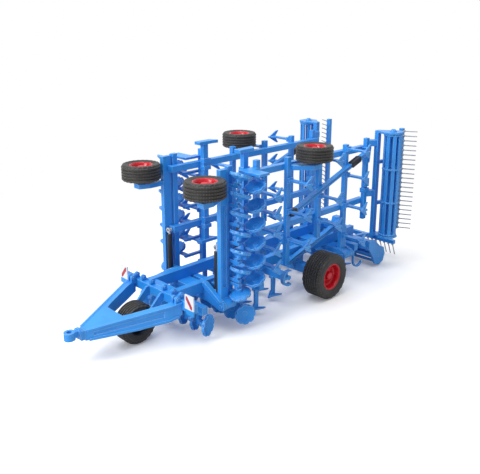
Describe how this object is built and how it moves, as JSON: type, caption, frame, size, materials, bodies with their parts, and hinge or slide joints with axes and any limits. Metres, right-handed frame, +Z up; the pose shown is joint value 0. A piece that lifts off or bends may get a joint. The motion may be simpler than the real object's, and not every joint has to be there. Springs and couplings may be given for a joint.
{
  "type": "toy field cultivator",
  "caption": "Toy trailed field cultivator with folding side frames, disc rows, spring tines, support wheels, slatted rollers and a rear harrow.",
  "frame": {"origin": "on the ground under the middle of the folded model's outline", "axes": "+X forward to the hitch eye, +Y left, +Z up"},
  "size_m": [0.5522, 0.188, 0.218],
  "materials": {
    "blue_plastic": "gloss",
    "tyre_rubber": "matte",
    "rim_red": "gloss",
    "black_plastic": "satin",
    "rod_silver": "bright",
    "tine_grey": "satin",
    "sign_white": "gloss"
  },
  "bodies": {
    "chassis": {"axle_beam": "blue_plastic", "centre_front_discs": "blue_plastic", "centre_harrow_bar": "blue_plastic", "centre_harrow_tines": "tine_grey", "centre_rear_discs": "blue_plastic", "centre_tine_bars": "blue_plastic", "centre_tines": "blue_plastic", "drawbar": "blue_plastic", "front_cross": "blue_plastic", "front_fork": "blue_plastic", "hitch_head": "blue_plastic", "main_beams": "blue_plastic", "rear_cross": "blue_plastic", "rear_struts": "blue_plastic", "roller_beam": "blue_plastic", "sign_bar": "blue_plastic", "warning_sign_left": "sign_white", "warning_sign_right": "sign_white"},
    "ram_left_barrel": {"cylinder_left_barrel": "black_plastic"},
    "ram_left_rod": {"cylinder_left_rod": "rod_silver"},
    "ram_right_barrel": {"cylinder_right_barrel": "black_plastic"},
    "ram_right_rod": {"cylinder_right_rod": "rod_silver"},
    "front_wheel": {"front_wheel_rim": "rim_red", "front_wheel_tyre": "tyre_rubber"},
    "gauge_front_left": {"gauge_front_left_rim": "rim_red", "gauge_front_left_tyre": "tyre_rubber"},
    "gauge_front_right": {"gauge_front_right_rim": "rim_red", "gauge_front_right_tyre": "tyre_rubber"},
    "gauge_rear_left": {"gauge_rear_left_rim": "rim_red", "gauge_rear_left_tyre": "tyre_rubber"},
    "gauge_rear_right": {"gauge_rear_right_rim": "rim_red", "gauge_rear_right_tyre": "tyre_rubber"},
    "road_wheel_left": {"road_left_rim": "rim_red", "road_left_tyre": "tyre_rubber"},
    "road_wheel_right": {"road_right_rim": "rim_red", "road_right_tyre": "tyre_rubber"},
    "roller_centre": {"roller_centre": "blue_plastic"},
    "wing_left": {"wing_left_front_discs": "blue_plastic", "wing_left_harrow_bar": "blue_plastic", "wing_left_harrow_tines": "tine_grey", "wing_left_posts": "blue_plastic", "wing_left_rails": "blue_plastic", "wing_left_rear_discs": "blue_plastic", "wing_left_roller_frame": "blue_plastic", "wing_left_strut": "blue_plastic", "wing_left_tines": "blue_plastic", "wing_left_wheel_arms": "blue_plastic"},
    "roller_left": {"wing_left_roller": "blue_plastic"},
    "wing_right": {"wing_right_front_discs": "blue_plastic", "wing_right_harrow_bar": "blue_plastic", "wing_right_harrow_tines": "tine_grey", "wing_right_posts": "blue_plastic", "wing_right_rails": "blue_plastic", "wing_right_rear_discs": "blue_plastic", "wing_right_roller_frame": "blue_plastic", "wing_right_strut": "blue_plastic", "wing_right_tines": "blue_plastic", "wing_right_wheel_arms": "blue_plastic"},
    "roller_right": {"wing_right_roller": "blue_plastic"}
  },
  "joints": [
    {"name": "front_wheel_spin", "type": "hinge", "parent": "chassis", "child": "front_wheel", "pos_m": [0.18488, 0, 0.0245], "axis": [0, 1, 0], "continuous": true},
    {"name": "road_wheel_left_spin", "type": "hinge", "parent": "chassis", "child": "road_wheel_left", "pos_m": [-0.07512, 0.0775, 0.03175], "axis": [0, 1, 0], "continuous": true},
    {"name": "road_wheel_right_spin", "type": "hinge", "parent": "chassis", "child": "road_wheel_right", "pos_m": [-0.07512, -0.0775, 0.03175], "axis": [0, 1, 0], "continuous": true},
    {"name": "roller_centre_spin", "type": "hinge", "parent": "chassis", "child": "roller_centre", "pos_m": [-0.22512, 0, 0.017], "axis": [0, 1, 0], "continuous": true},
    {"name": "wing_left_fold", "type": "hinge", "parent": "chassis", "child": "wing_left", "pos_m": [0.09287, 0.06, 0.037], "axis": [-1, 0, 0], "range_deg": [0, 90]},
    {"name": "gauge_front_left_spin", "type": "hinge", "parent": "wing_left", "child": "gauge_front_left", "pos_m": [0.12537, 0.06, 0.187], "axis": [0, 0, 1], "continuous": true},
    {"name": "gauge_rear_left_spin", "type": "hinge", "parent": "wing_left", "child": "gauge_rear_left", "pos_m": [-0.05513, 0.0695, 0.204], "axis": [0, 0, 1], "continuous": true},
    {"name": "roller_left_spin", "type": "hinge", "parent": "wing_left", "child": "roller_left", "pos_m": [-0.22512, 0.08, 0.132], "axis": [0, 0, 1], "continuous": true},
    {"name": "ram_left_swing", "type": "hinge", "parent": "chassis", "child": "ram_left_barrel", "pos_m": [0.09548, 0.0453, 0.052], "axis": [-1, 0, 0], "range_deg": [0, 90.7]},
    {"name": "ram_left_slide", "type": "slide", "parent": "ram_left_barrel", "child": "ram_left_rod", "axis": [0, 0, 1], "range_m": [0, 0.03]},
    {"name": "wing_right_fold", "type": "hinge", "parent": "chassis", "child": "wing_right", "pos_m": [0.09287, -0.06, 0.037], "axis": [1, 0, 0], "range_deg": [0, 90]},
    {"name": "gauge_front_right_spin", "type": "hinge", "parent": "wing_right", "child": "gauge_front_right", "pos_m": [0.12537, -0.06, 0.187], "axis": [0, 0, -1], "continuous": true},
    {"name": "gauge_rear_right_spin", "type": "hinge", "parent": "wing_right", "child": "gauge_rear_right", "pos_m": [-0.05513, -0.0695, 0.204], "axis": [0, 0, -1], "continuous": true},
    {"name": "roller_right_spin", "type": "hinge", "parent": "wing_right", "child": "roller_right", "pos_m": [-0.22512, -0.08, 0.132], "axis": [0, 0, -1], "continuous": true},
    {"name": "ram_right_swing", "type": "hinge", "parent": "chassis", "child": "ram_right_barrel", "pos_m": [0.09548, -0.0453, 0.052], "axis": [1, 0, 0], "range_deg": [0, 90.7]},
    {"name": "ram_right_slide", "type": "slide", "parent": "ram_right_barrel", "child": "ram_right_rod", "axis": [0, 0, 1], "range_m": [0, 0.03]}
  ],
  "couplings": [
    {"joint": "ram_left_swing", "follows": "wing_left_fold", "ratio": 1.0023},
    {"joint": "ram_left_slide", "follows": "wing_left_fold", "m_per_rad": 0.018908},
    {"joint": "ram_right_swing", "follows": "wing_right_fold", "ratio": 1.0023},
    {"joint": "ram_right_slide", "follows": "wing_right_fold", "m_per_rad": 0.018908}
  ]
}
